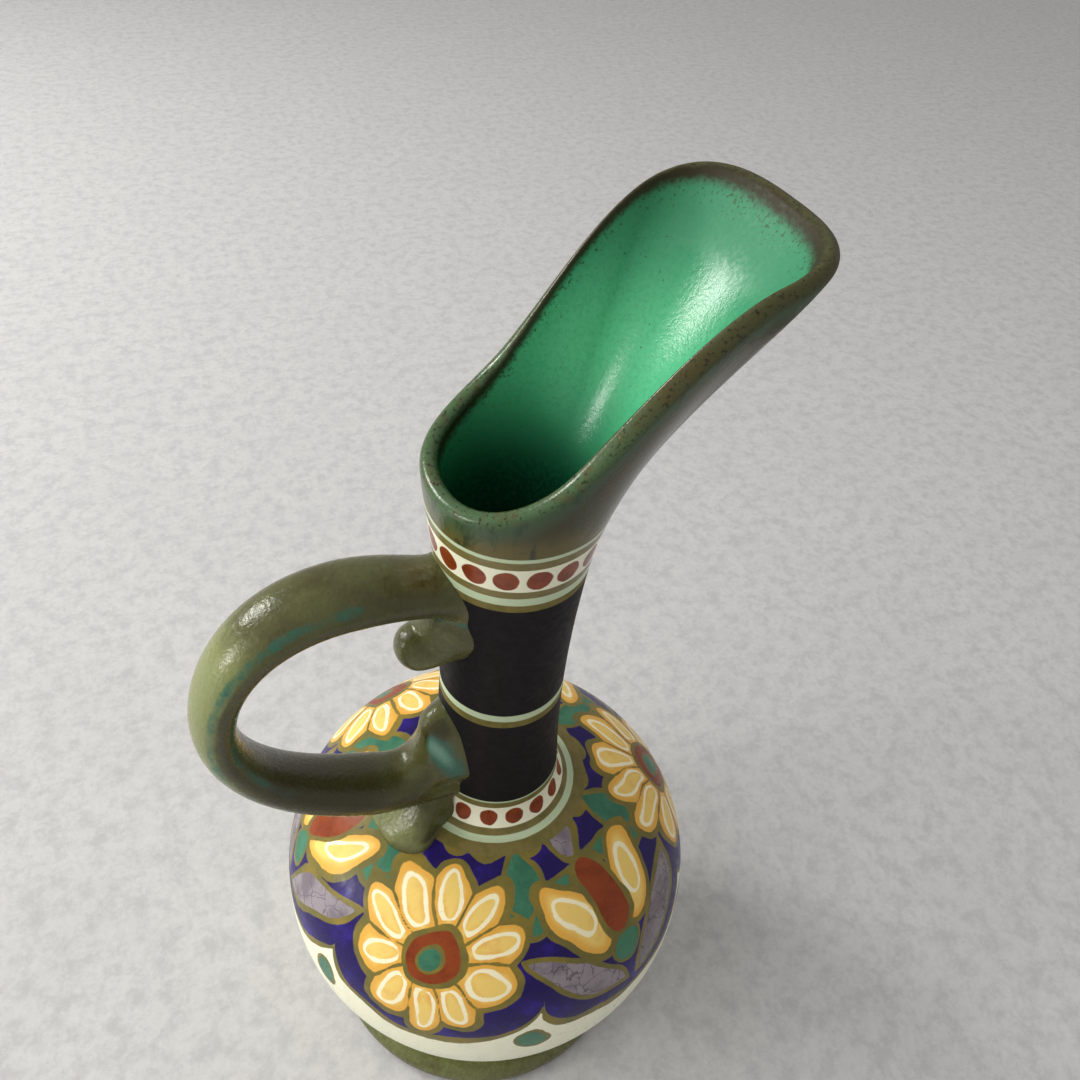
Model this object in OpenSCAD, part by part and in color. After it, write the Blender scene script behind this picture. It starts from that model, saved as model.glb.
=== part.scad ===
/* [Body] */
// Radius of the globe at its girth
body_r = 66; // [56:1:80]
// Height of the girth above the table
girth_h = 66; // [58:1:76]
// Height of the shoulder dome above the girth, if it ran on to the axis
shoulder_h = 49; // [42:1:60]
// Fullness of the shoulder curve, where 2 is an ellipse
shoulder_power = 2.45; // [2:0.05:3]
// Thickness of the globe's wall and floor
body_wall = 5; // [4:0.5:7]

/* [Foot] */
// Largest radius of the foot
foot_r = 54; // [48:1:60]
// Height of the foot up to the joint with the belly
foot_h = 21; // [18:1:26]
// Radius of the foot at the joint with the belly
foot_waist_r = 36.5; // [34:0.5:40]
// Radius of the round bead at the foot's edge
foot_bead = 4; // [3:0.5:5]
// Width of the ring that the foot rests on
foot_rest_w = 7; // [4:0.5:10]

/* [Neck] */
// Radius of the flared collar where it meets the shoulder
collar_r = 24.5; // [23:0.5:28]
// Height of the collar
collar_h = 11.8; // [10:0.2:16]
// Radius of the neck where it stands on the collar
neck_base_r = 18.8; // [18:0.2:20]
// Radius of the neck at its narrowest place
neck_r = 17.3; // [16:0.1:18]
// Radius of the neck at its top
neck_top_r = 19.6; // [19:0.1:22]
// Length of the neck from collar to spout
neck_h = 84; // [76:1:100]
// Height of the narrowest place above the collar
neck_waist_h = 37.3; // [30:0.5:45]
// Thickness of the wall of neck, collar and spout
neck_wall = 4.4; // [3.6:0.2:5]

/* [Spout] */
// Distance of the lip behind the neck's axis
lip_back_x = 19.8; // [19:0.2:23]
// Height of the back of the lip above the neck
lip_back_h = 23.4; // [20:0.2:28]
// Distance in front of the axis where the low part of the lip ends
lip_waist_x = 2.3; // [0:0.1:6]
// Half width of the mouth there
lip_waist_w = 23.1; // [21:0.1:26]
// Height of the lip there, above the neck
lip_waist_h = 36.6; // [33:0.2:42]
// Distance of the lip's crest in front of the axis
lip_crest_x = 40.6; // [36:0.2:44]
// Half width of the spout at the crest
lip_crest_w = 26.5; // [24:0.1:30]
// Height of the crest above the neck
lip_crest_h = 76.2; // [70:0.2:84]
// Distance of the spout's tip in front of the axis
lip_tip_x = 57; // [52:0.5:64]
// Height of the tip above the neck
lip_tip_h = 80; // [74:0.5:90]

/* [Handle] */
// Distance of the handle's middle line from the neck's axis at its bend
handle_reach = 76.6; // [70:0.2:86]
// Height of the bend above the collar
handle_bend_h = 53.1; // [46:0.1:60]
// Depth of the upper root below the top of the neck
handle_top_drop = 8.6; // [7:0.2:14]
// Depth of the lower root below the top of the collar
handle_low_drop = 1; // [0:0.2:2]
// Width of the strap at its roots
handle_root_w = 20.8; // [18:0.2:22]
// Thickness of the strap at its roots
handle_root_t = 12.6; // [11:0.2:14]
// Width of the strap at the bend
handle_bend_w = 16.8; // [14:0.2:20]
// Thickness of the strap at the bend
handle_bend_t = 10.4; // [9:0.2:13]
// Turn of the handle away from the line of the spout
handle_turn = 5; // [0:1:10]

/* [Handle ends] */
// Distance of the scroll's round tip from the neck's axis
scroll_reach = 30.5; // [27:0.5:34]
// Depth of the scroll's tip below the upper root
scroll_drop = 16.2; // [15:0.2:19]
// Radius of the scroll's round tip
scroll_r = 5.4; // [4.6:0.1:6]
// Height of the spur's tip above the collar
spur_h = 29.5; // [27:0.5:35]
// Width of the spur at its broadest place
spur_w = 22.4; // [18:0.2:24]
// Thickness of the spur near its tip
spur_t = 7; // [5:0.2:8]
// Distance of the tongue's end from the neck's axis
tongue_reach = 39; // [36:0.5:44]
// Width of the tongue where it lies on the shoulder
tongue_w = 30; // [24:0.5:33]

/* [Joints] */
// Depth of the lap where two pieces are joined
lap = 5; // [4:0.5:6]
// Layer of slip left in a lap
slip_gap = 0.2; // [0.1:0.05:0.4]

/* [Hidden] */
$fn = 96;

olive = "#5d6a3a";
near_black = "#241f21";
indigo = "#2c2178";
cream = "#e9e3cf";
rust = "#a2492f";
green = "#4a6b4e";

// Steps of a curved outline, of a sweep and of the spout's mouth
curve_steps = 18;
cove_steps = 8;
strap_steps = 16;
strap_sides = 18;
mouth_steps = 11;
wall_steps = 7;
lip_steps = 4;

// Shares that shape the lip: spread of its back, run through waist and crest, lean, spread of the tip
lip_back_spread = 0.76;
lip_waist_run = 0.24;
lip_crest_run = 0.86;
lip_crest_lean = 0.36;
lip_tip_spread = 0.42;

// Shares of the spout's wall that follow the neck's lean below and the straight line to the lip above
wall_start = 0.4;
wall_end = 0.2;

// Shares of the handle's span and rise that set the swing of its two arms
upper_swing = 0.75;
upper_lift = 0.4;
upper_bend = 0.74;
lower_bend = 0.42;
lower_swing = 0.6;
lower_lift = 0.11;

// Shares that shape the handle's ends: root of the scroll, tip of the spur, and where each closes
scroll_root_drop = 0.7;
scroll_root_swell = 1.5;
scroll_broad = 1.15;
scroll_close = 0.55;
spur_root = 0.6;
spur_swell = 0.3;
spur_tip = 0.42;
spur_close = 0.78;
tongue_root = 0.61;
tongue_swell = 0.6;
tongue_edge = 0.35;
closing_end = 0.003;

// Shares of the strap's width that it loses at its two roots, and of its length where it does
top_pinch = 0.16;
top_pinch_run = 0.12;
low_pinch = 0.3;
low_pinch_run = 0.14;

// Heights that follow from the driving sizes
collar_z = shoulder_z(collar_r);
neck_z = collar_z + collar_h;
waist_z = neck_z + neck_waist_h;
top_z = neck_z + neck_h;
floor_z = foot_h + body_wall;

// Depth of the belly's ellipse, which passes through the girth and the foot's waist
belly_h = (girth_h - foot_h) / sqrt(1 - pow(foot_waist_r / body_r, 2));

// Radii of the laps
foot_seat_r = foot_waist_r - body_wall;
girth_lap_r = body_r - body_wall / 2;
collar_lap_r = collar_r - neck_wall;
neck_lap_r = neck_base_r - neck_wall / 2;
spout_lap_r = neck_top_r - neck_wall / 2;

function mix(a, b, t) = a + (b - a) * t;
function bezier(p, t) =
    pow(1 - t, 3) * p[0] + 3 * pow(1 - t, 2) * t * p[1] + 3 * (1 - t) * t * t * p[2] + pow(t, 3) * p[3];
function steps(n) = [for (i = [0:n]) i / n];
// Soft step from 0 to 1
function ease(t) = let (s = min(1, max(0, t))) s * s * (3 - 2 * s);

// Outlines of the turned pieces: radius at a height, or height at a radius
function belly_radius(z, inset) =
    (body_r - inset) * sqrt(max(0, 1 - pow((girth_h - z) / (belly_h - inset), 2)));
function shoulder_z(r, inset = 0) =
    girth_h + (shoulder_h - inset)
    * pow(1 - pow(r / (body_r - inset), shoulder_power), 1 / shoulder_power);
function neck_radius(z) = z < waist_z
    ? neck_r + (neck_base_r - neck_r) * pow((waist_z - z) / neck_waist_h, 2)
    : neck_r + (neck_top_r - neck_r) * pow((z - waist_z) / (top_z - waist_z), 2);
// Lean of the neck's side at its top, which the spout carries on
top_slope = 2 * (neck_top_r - neck_r) / (top_z - waist_z);

function belly_outline() = [
    for (t = steps(curve_steps)) let (z = mix(foot_h, girth_h, t)) [belly_radius(z, 0), z]
];
// Points of the dome from a height above the girth up to a radius, at even steps of the curve's angle
function dome_outline(rise, r_high, inset) =
    let (
        r0 = body_r - inset,
        h0 = shoulder_h - inset,
        power = 2 / shoulder_power,
        low = asin(pow(rise / h0, 1 / power)),
        high = acos(pow(r_high / r0, 1 / power))
    )
    [
        for (t = steps(curve_steps))
            let (a = mix(low, high, t)) [r0 * pow(cos(a), power), girth_h + h0 * pow(sin(a), power)]
    ];
function collar_outline() = [
    for (t = steps(cove_steps))
        [collar_r - (collar_r - neck_base_r) * sin(90 * t), neck_z - collar_h * cos(90 * t)]
];
function neck_outline(inset) = [
    for (t = steps(curve_steps)) let (z = mix(neck_z, top_z, t)) [neck_radius(z) - inset, z]
];
function reversed(list) = [for (i = [len(list) - 1:-1:0]) list[i]];

// Solid of everything inside the outer face of shoulder, collar and neck, which the handle is cut by
module turned_core() {
    rotate_extrude()
        polygon(concat(
            [[0, girth_h]],
            dome_outline(0, collar_r, 0),
            collar_outline(),
            neck_outline(0),
            [[0, top_z]]
        ));
}

module foot_ring() {
    bead_r = foot_r - foot_bead;
    rest_r = bead_r - foot_rest_w;
    bead_top = 2 * foot_bead;
    color(olive)
    rotate_extrude()
        polygon(concat(
            [[rest_r, 0]],
            [for (t = steps(2 * cove_steps))
                [bead_r + foot_bead * sin(180 * t), foot_bead - foot_bead * cos(180 * t)]],
            [for (t = steps(cove_steps)) if (t > 0)
                [bead_r - (bead_r - foot_waist_r) * sin(90 * t),
                 bead_top + (foot_h - bead_top) * (1 - cos(90 * t))]],
            [[foot_seat_r, foot_h], [foot_seat_r, foot_h - lap - slip_gap]]
        ));
}

module belly() {
    color(cream)
    rotate_extrude()
        polygon(concat(
            [[0, foot_h - lap], [foot_seat_r - slip_gap, foot_h - lap], [foot_seat_r - slip_gap, foot_h]],
            belly_outline(),
            [[girth_lap_r - slip_gap, girth_h], [girth_lap_r - slip_gap, girth_h + lap]],
            [[body_r - body_wall, girth_h + lap]],
            [for (t = steps(curve_steps))
                let (z = mix(girth_h, floor_z, t)) [belly_radius(z, body_wall), z]],
            [[0, floor_z]]
        ));
}

module shoulder() {
    rebate = lap + slip_gap;
    color(indigo)
    rotate_extrude()
        polygon(concat(
            [[girth_lap_r, girth_h]],
            dome_outline(0, collar_r, 0),
            [[collar_lap_r, collar_z]],
            reversed(dome_outline(rebate, collar_lap_r, body_wall)),
            [[girth_lap_r, girth_h + rebate]]
        ));
}

module neck_collar() {
    bore_r = neck_base_r - neck_wall;
    socket_z = neck_z - lap - slip_gap;
    color(rust)
    rotate_extrude()
        polygon(concat(
            [[collar_lap_r - slip_gap, collar_z - lap], [collar_lap_r - slip_gap, collar_z]],
            collar_outline(),
            [[neck_lap_r, neck_z], [neck_lap_r, socket_z]],
            [[bore_r, socket_z], [bore_r, collar_z - lap]]
        ));
}

module neck() {
    bore_r = neck_base_r - neck_wall;
    spigot_r = neck_lap_r - slip_gap;
    top_spigot_r = spout_lap_r - slip_gap;
    color(near_black)
    rotate_extrude()
        polygon(concat(
            [[bore_r, neck_z - lap], [spigot_r, neck_z - lap], [spigot_r, neck_z]],
            neck_outline(0),
            [[top_spigot_r, top_z], [top_spigot_r, top_z + lap]],
            [[neck_top_r - neck_wall, top_z + lap]],
            reversed(neck_outline(neck_wall))
        ));
}

// Middle line of the lip, one side, from the back to the tip: three curves that run on smoothly
function lip_half() =
    let (
        back = [-lip_back_x, 0, lip_back_h],
        waist = [lip_waist_x, lip_waist_w, lip_waist_h],
        crest = [lip_crest_x, lip_crest_w, lip_crest_h],
        tip = [lip_tip_x, 0, lip_tip_h],
        at_waist = lip_waist_run * (crest - waist),
        at_crest = lip_crest_run * (tip[0] - crest[0]) * [1, 0, lip_crest_lean],
        low = [back, back + [0, lip_back_spread * lip_waist_w, 0], waist - at_waist, waist],
        side = [waist, waist + at_waist, crest - at_crest, crest],
        front = [crest, crest + at_crest, tip + [0, lip_tip_spread * lip_crest_w, 0], tip]
    )
    concat(
        [for (t = steps(mouth_steps)) bezier(low, t)],
        [for (t = steps(mouth_steps)) if (t > 0) bezier(side, t)],
        [for (t = steps(mouth_steps)) if (t > 0) bezier(front, t)]
    );

function mirrored(p) = [p[0], -p[1], p[2]];

// Whole lip as a loop, seen from above running clockwise from the back
function lip_loop() =
    let (half = lip_half(), n = len(half))
    concat(half, [for (i = [n - 2:-1:1]) mirrored(half[i])]);

// Closed section of the spout's wall in the upright plane through the axis and a point of the lip.
// Outer and inner side leave the neck with its own lean and then run straight up to the lip,
// which is a half round.
function spout_section(p) =
    let (
        reach = norm([p[0], p[1]]),
        dir = [p[0], p[1]] / reach,
        rise = [reach - neck_top_r, p[2]],
        run = norm(rise),
        up = rise / run,
        out = [up[1], -up[0]],
        half = neck_wall / 2,
        lip = [reach, p[2]],
        start = [top_slope, 1] / norm([top_slope, 1]),
        foot = [neck_top_r, 0],
        bore = [neck_top_r - neck_wall, 0],
        lean = wall_start * run * start,
        reach_up = wall_end * run * up,
        outer = [foot, foot + lean, lip + half * out - reach_up, lip + half * out],
        inner = [bore, bore + lean, lip - half * out - reach_up, lip - half * out],
        flat = concat(
            [for (t = steps(wall_steps)) bezier(outer, t)],
            [for (t = steps(lip_steps)) if (t > 0 && t < 1)
                lip + half * (cos(180 * t) * out + sin(180 * t) * up)],
            [for (t = steps(wall_steps)) bezier(inner, 1 - t)]
        )
    )
    [for (q = flat) [q[0] * dir[0], q[0] * dir[1], top_z + q[1]]];

// Skin over a loop of closed sections
module ring_skin(sections) {
    n = len(sections);
    k = len(sections[0]);
    polyhedron(
        points = [for (s = sections) each s],
        faces = [
            for (j = [0:n - 1], i = [0:k - 1])
                let (a = j * k + i, b = j * k + (i + 1) % k,
                     c = (j + 1) % n * k + i, d = (j + 1) % n * k + (i + 1) % k)
                each [[a, d, b], [a, c, d]]
        ],
        convexity = 8
    );
}

// Skin over a row of closed sections, with a flat face at both ends
module row_skin(sections) {
    n = len(sections);
    k = len(sections[0]);
    polyhedron(
        points = [for (s = sections) each s],
        faces = concat(
            [[for (i = [k - 1:-1:0]) i]],
            [
                for (j = [0:n - 2], i = [0:k - 1])
                    let (a = j * k + i, b = j * k + (i + 1) % k,
                         c = (j + 1) * k + i, d = (j + 1) * k + (i + 1) % k)
                    each [[a, b, d], [a, d, c]]
            ],
            [[for (i = [0:k - 1]) (n - 1) * k + i]]
        ),
        convexity = 8
    );
}

module spout() {
    color(green)
    difference() {
        ring_skin([for (p = lip_loop()) spout_section(p)]);
        translate([0, 0, top_z - lap])
            cylinder(r = spout_lap_r, h = 2 * lap + slip_gap);
    }
}

// Handle, in the upright plane that it lies in: distance from the neck's axis and height
handle_top_z = top_z - handle_top_drop;
handle_low_z = neck_z - handle_low_drop;
handle_bend_z = neck_z + handle_bend_h;
root_x = neck_r - neck_wall / 2;

function strap_curves() =
    let (
        span = handle_reach - root_x,
        bend = [handle_reach, handle_bend_z],
        top = [root_x, handle_top_z],
        low = [root_x, handle_low_z],
        above = [0, upper_bend * (handle_top_z - handle_bend_z)],
        below = [0, lower_bend * (handle_bend_z - handle_low_z)]
    )
    [
        [top, top + span * [upper_swing, upper_lift], bend + above, bend],
        [bend, bend - below, low + span * [lower_swing, lower_lift], low]
    ];

// Middle points of the strap from the upper root to the lower one
function strap_points() =
    let (c = strap_curves())
    concat(
        [for (t = steps(strap_steps)) bezier(c[0], t)],
        [for (t = steps(strap_steps)) if (t > 0) bezier(c[1], t)]
    );

// Oval section about a middle point, square to a direction in the handle's plane
function oval(middle, along, half_t, half_w) = [
    for (i = [0:strap_sides - 1])
        let (a = 360 * i / strap_sides, across = half_t * cos(a))
        [-(middle[0] + across * along[1]), half_w * sin(a), middle[1] - across * along[0]]
];

module strap() {
    pts = strap_points();
    last = len(pts) - 1;
    row_skin([
        for (i = [0:last])
            let (
                run = pts[min(i + 1, last)] - pts[max(i - 1, 0)],
                share = i / last,
                slim = pow(sin(180 * share), 2),
                pinch = top_pinch * ease(1 - share / top_pinch_run)
                    + low_pinch * ease(1 - (1 - share) / low_pinch_run),
                half_t = mix(handle_root_t, handle_bend_t, slim) / 2,
                half_w = mix(handle_root_w, handle_bend_w, slim) / 2 * (1 - pinch)
            )
            oval(pts[i], run / norm(run), half_t, half_w)
    ]);
}

module turned() {
    rotate([0, 0, handle_turn]) children();
}

module handle_loop() {
    color(olive)
    difference() {
        turned() strap();
        turned_core();
    }
}

// Round closing of a sweep: full width up to a share of its length, then a quarter ellipse
function closing(t, full) =
    t < full ? 1 : sqrt(max(closing_end, 1 - pow((t - full) / (1 - full), 2)));

// Curl of the strap's end under its upper root, with a round tip
module scroll() {
    tip_z = handle_top_z - scroll_drop;
    root_z = handle_top_z - scroll_root_drop * scroll_drop;
    row_skin([
        for (t = steps(strap_steps))
            let (
                x = mix(root_x, scroll_reach, t),
                z = mix(root_z, tip_z, sin(90 * t)),
                round_end = closing(t, scroll_close),
                slim = sin(90 * min(1, t / scroll_close)),
                half_t = scroll_r * mix(scroll_root_swell, 1, slim) * round_end,
                half_w = mix(handle_root_w / 2, scroll_broad * scroll_r, t) * round_end
            )
            oval([x, z], [1, 0], half_t, half_w)
    ]);
}

module upper_scroll() {
    color(olive)
    difference() {
        turned() scroll();
        turned() strap();
        turned_core();
    }
}

// Thumb that rises from the lower root and stands along the neck: it swells, narrows and has a blunt tip
module spur() {
    base_z = handle_low_z + handle_root_t / 4;
    tip_z = neck_z + spur_h;
    sink = neck_wall / 2;
    row_skin([
        for (t = steps(strap_steps))
            let (
                z = mix(base_z, tip_z, t),
                round_end = closing(t, spur_close),
                proud = spur_t + handle_root_t * pow(1 - t, 4),
                half_t = (proud + sink) * round_end,
                swell = mix(spur_root, 1, ease(t / spur_swell)),
                half_w = spur_w / 2 * swell * mix(1, spur_tip, pow(t, 1.5)) * round_end
            )
            oval([neck_radius(max(z, neck_z)) - sink, z], [0, 1], half_t, half_w)
    ]);
}

module lower_spur() {
    color(olive)
    difference() {
        turned() spur();
        turned() strap();
        turned_core();
    }
}

// Lobe under the lower root: it leaves the collar slim, spreads over the shoulder and ends round
module tongue() {
    pad_x = neck_base_r;
    pad_z = collar_z - neck_wall / 2;
    rise = handle_low_z - pad_z;
    row_skin([
        for (t = steps(strap_steps))
            let (
                run = sin(90 * t),
                round_end = sqrt(max(closing_end, 1 - pow(run, 4))),
                half_t = rise * mix(1, tongue_edge, run) * round_end,
                half_w = tongue_w / 2 * mix(tongue_root, 1, ease(run / tongue_swell)) * round_end
            )
            oval([mix(pad_x, tongue_reach, run), pad_z], [1, 0], half_t, half_w)
    ]);
}

module lower_tongue() {
    color(olive)
    difference() {
        turned() tongue();
        turned() strap();
        turned() spur();
        turned_core();
    }
}

foot_ring();
belly();
shoulder();
neck_collar();
neck();
spout();
handle_loop();
upper_scroll();
lower_spur();
lower_tongue();
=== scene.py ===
import math

import bpy
import bmesh
import numpy as np
from mathutils import Matrix


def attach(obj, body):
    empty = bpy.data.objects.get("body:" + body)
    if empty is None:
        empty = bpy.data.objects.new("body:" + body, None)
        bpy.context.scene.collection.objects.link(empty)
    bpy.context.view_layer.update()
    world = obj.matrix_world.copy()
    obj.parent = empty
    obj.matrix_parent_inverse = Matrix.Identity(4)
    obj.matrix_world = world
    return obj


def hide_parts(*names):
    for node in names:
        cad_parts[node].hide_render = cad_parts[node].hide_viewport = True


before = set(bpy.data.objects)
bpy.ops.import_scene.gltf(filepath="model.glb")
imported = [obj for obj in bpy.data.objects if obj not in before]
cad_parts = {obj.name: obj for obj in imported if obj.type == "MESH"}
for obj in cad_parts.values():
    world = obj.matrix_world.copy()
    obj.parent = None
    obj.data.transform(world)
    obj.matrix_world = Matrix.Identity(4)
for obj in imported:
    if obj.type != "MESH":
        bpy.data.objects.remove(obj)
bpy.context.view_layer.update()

MM = 0.001

# Edges sharper than this, in degrees, stay crisp
CRISP_EDGE = 42
# Points of a curve before it is cut into even steps
FINE_STEPS = 400

# Sizes of the ewer in millimetres, as the solids have them
GLOBE_R, GIRTH = 66.0, 66.0
DOME_H, DOME_POWER = 49.0, 2.45
WALL, LAP, SLIP_GAP = 5.0, 5.0, 0.2
FOOT_R, FOOT_H, FOOT_WAIST, FOOT_BEAD, FOOT_REST = 54.0, 21.0, 36.5, 4.0, 7.0
COLLAR_R, COLLAR_H = 24.5, 11.8
NECK_BASE, NECK_R, NECK_TOP = 18.8, 17.3, 19.6
NECK_H, NECK_WAIST, NECK_WALL = 84.0, 37.3, 4.4


def dome_z(r):
    """Height of the shoulder at a radius: a superellipse over the girth."""
    return GIRTH + DOME_H * (1 - (r / GLOBE_R) ** DOME_POWER) ** (1 / DOME_POWER)


COLLAR_Z = dome_z(COLLAR_R)
NECK_Z = COLLAR_Z + COLLAR_H
WAIST_Z = NECK_Z + NECK_WAIST
TOP_Z = NECK_Z + NECK_H
BELLY_H = (GIRTH - FOOT_H) / math.sqrt(1 - (FOOT_WAIST / GLOBE_R) ** 2)


def neck_radius(z):
    """Radius of the neck at a height: two parabolas that meet at its waist."""
    low = NECK_R + (NECK_BASE - NECK_R) * ((WAIST_Z - z) / NECK_WAIST) ** 2
    high = NECK_R + (NECK_TOP - NECK_R) * ((z - WAIST_Z) / (TOP_Z - WAIST_Z)) ** 2
    return np.where(z < WAIST_Z, low, high)


def cubic(a, b, c, d, t):
    """Cubic curve with four control points at the values t."""
    return (1 - t) ** 3 * a + 3 * (1 - t) ** 2 * t * b + 3 * (1 - t) * t * t * c + t ** 3 * d


def bezier(points, t):
    """Cubic curve through four control points at the values t, as one array."""
    return cubic(*np.asarray(points, float), np.asarray(t, float)[:, None])


def even(points, count):
    """The same line with its points at even steps of its length."""
    p = np.asarray(points, float)
    run = np.concatenate([[0], np.cumsum(np.linalg.norm(np.diff(p, axis=0), axis=1))])
    at = np.linspace(0, run[-1], count)
    return np.stack([np.interp(at, run, p[:, k]) for k in range(p.shape[1])], -1)


def smooth(a, b, x):
    """Soft step from 0 at a to 1 at b."""
    t = np.clip((x - a) / (b - a), 0, 1)
    return t * t * (3 - 2 * t)


def piece(name, verts, faces, material, nodes, fields=None, weld=False):
    """Puts arrays of points in millimetres and faces into a mesh that stands for CAD nodes.

    fields are numbers per point that the material reads by name. weld joins points that meet at a pole.
    """
    mesh = bpy.data.meshes.new(name)
    mesh.from_pydata((np.asarray(verts) * MM).tolist(), [], np.asarray(faces).tolist())
    for key, values in (fields or {}).items():
        layer = mesh.attributes.new(key, "FLOAT", "POINT")
        layer.data.foreach_set("value", np.asarray(values, np.float32).ravel())
    if weld:
        bm = bmesh.new()
        bm.from_mesh(mesh)
        bmesh.ops.remove_doubles(bm, verts=bm.verts, dist=1e-6)
        bm.to_mesh(mesh)
        bm.free()
    mesh.validate()
    mesh.polygons.foreach_set("use_smooth", np.ones(len(mesh.polygons), bool))
    mesh.set_sharp_from_angle(angle=math.radians(CRISP_EDGE))
    mesh.materials.append(material)
    obj = bpy.data.objects.new(name, mesh)
    bpy.context.scene.collection.objects.link(obj)
    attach(obj, "root")
    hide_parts(*nodes)
    return obj


def grid_faces(rows, cols, wrap_rows, wrap_cols):
    """Four-sided faces of a grid of points, with either way closed on itself."""
    i = np.arange(rows if wrap_rows else rows - 1)[:, None]
    j = np.arange(cols if wrap_cols else cols - 1)[None, :]
    i2, j2 = (i + 1) % rows, (j + 1) % cols
    quad = [i * cols + j, i2 * cols + j, i2 * cols + j2, i * cols + j2]
    return np.stack([np.broadcast_to(q, np.broadcast(i, j).shape) for q in quad], -1).reshape(-1, 4)


def turned(outline, around):
    """Surface of revolution: a closed outline of (radius, height) carried round the upright axis."""
    a = np.linspace(0, 2 * np.pi, around, endpoint=False)[:, None]
    r, z = outline[:, 0][None, :], outline[:, 1][None, :]
    pts = np.stack([r * np.cos(a), r * np.sin(a), z + 0 * a], -1)
    return pts.reshape(-1, 3), grid_faces(around, len(outline), True, True)


def superellipse(r0, h0, r_high, count):
    """Outline of the dome from the girth up to a radius, at even steps."""
    power = 2 / DOME_POWER
    a = np.linspace(0, math.acos((r_high / r0) ** (1 / power)), FINE_STEPS)
    return even(np.stack([r0 * np.cos(a) ** power, GIRTH + h0 * np.sin(a) ** power], -1), count)


def ellipse_field(u, v, a, b):
    """About the distance in millimetres to an ellipse with half axes a and b, below 0 inside."""
    k0 = np.sqrt((u / a) ** 2 + (v / b) ** 2)
    k1 = np.sqrt((u / (a * a)) ** 2 + (v / (b * b)) ** 2)
    return np.where(k1 > 1e-9, k0 * (k0 - 1) / np.maximum(k1, 1e-9), -min(a, b))


def leaf_field(u, v, length, width):
    """About the distance to a pointed leaf: two circles' overlap, along v, centred."""
    half = length / 2
    r = (half * half + width * width / 4) / width
    d = r - width / 2
    return np.hypot(np.abs(u) + d, v) - r


def turn(u, v, degrees):
    """The same place seen from axes that are turned by an angle."""
    c, s = math.cos(math.radians(degrees)), math.sin(math.radians(degrees))
    return u * c + v * s, -u * s + v * c


# Glazes

OLIVE, OLIVE_DARK, OLIVE_PALE, OCHRE = "#6b6532", "#3d3a1c", "#7d8451", "#86752f"
CREAM, MINT, RUST, BRICK, BLACK = "#f5f4d9", "#c3d4b1", "#8d3e16", "#742e11", "#171518"
INDIGO, VIOLET, NIGHT = "#190653", "#2c1782", "#0f0338"
# The darkest green is painted shade: the emerald glaze made dark deep down the bore
TURQUOISE, SEA, BORE_SHADE_GREEN = "#417c5f", "#336a52", "#0c3f29"
YELLOW, STRAW, PALE_STRAW = "#e8af49", "#f3d174", "#fdf5d0"
LILAC, LILAC_DARK = "#938a90", "#756c74"
# Half width in millimetres of the soft edge that a brush leaves, and how far a ring's edge wanders
BRUSHED, RING_WANDER = 0.16, 0.25
# How far in millimetres one glaze runs into the next at the lip
LIP_FRAY = 3.0
# Values of a noise at which a skin is at its smoothest and at its dullest
SMOOTH_AT, DULL_AT = 0.25, 0.8
# Index of refraction of a fired glaze
GLAZE_IOR = 1.5


def linear(code):
    """Colour of an sRGB hex code as linear red, green, blue and alpha."""
    s = np.array([int(code[k:k + 2], 16) / 255 for k in (1, 3, 5)])
    return (*np.where(s <= 0.04045, s / 12.92, ((s + 0.055) / 1.055) ** 2.4).tolist(), 1.0)


def add(tree, kind, *sockets, out=0, **more):
    """Adds a node and gives one of its outputs.

    sockets fill its inputs in order, and more names inputs or the node's own settings.
    """
    n = tree.nodes.new("ShaderNode" + kind)
    inputs = dict(enumerate(sockets))
    for key, value in more.items():
        if key.replace("_", " ") in n.inputs:
            inputs[key.replace("_", " ")] = value
        else:
            setattr(n, key, value)
    for key, value in inputs.items():
        if isinstance(value, bpy.types.NodeSocket):
            tree.links.new(value, n.inputs[key])
        elif value is not None:
            n.inputs[key].default_value = value
    return n.outputs[out] if len(n.outputs) else n


def lay(tree, color, layers):
    """Glaze colours laid over each other in order.

    A layer is a number, the values where it begins and where it covers, its strength and its colour.
    """
    for value, start, full, strength, tint in layers:
        amount = add(tree, "MapRange", value, start, full, 0.0, strength, interpolation_type="SMOOTHSTEP")
        tint = linear(tint) if isinstance(tint, str) else tint
        skip = (None,) * 5
        color = add(tree, "Mix", amount, *skip, color, tint, out=2, data_type="RGBA")
    return color


def bare_material(name):
    """A new material with nothing in it yet.

    Gives its tree, the place on the piece, and the wobble of brushed edges in millimetres.
    """
    material = bpy.data.materials.new(name)
    material.use_nodes = True
    tree = material.node_tree
    tree.nodes.clear()
    place = add(tree, "TexCoord", out="Object")
    hand = add(tree, "TexNoise", place, Scale=1 / (4 * MM), Detail=2.0)
    wobble = add(tree, "Math", hand, 1.0, -0.5, operation="MULTIPLY_ADD")
    return material, tree, place, wobble


def fire(tree, color, rough, grit, bump_mm, gloss):
    """Closes a material: roughness from low to high by a noise, an uneven skin and its sheen."""
    low, high, noise = rough
    dull = add(tree, "MapRange", noise, SMOOTH_AT, DULL_AT, low, high, interpolation_type="SMOOTHSTEP")
    skin = add(tree, "Bump", Height=grit, Distance=bump_mm * MM, Strength=1.0)
    shader = add(tree, "BsdfPrincipled", color, Roughness=dull, Normal=skin, IOR=GLAZE_IOR,
                 Specular_IOR_Level=gloss)
    add(tree, "OutputMaterial", shader)


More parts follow.
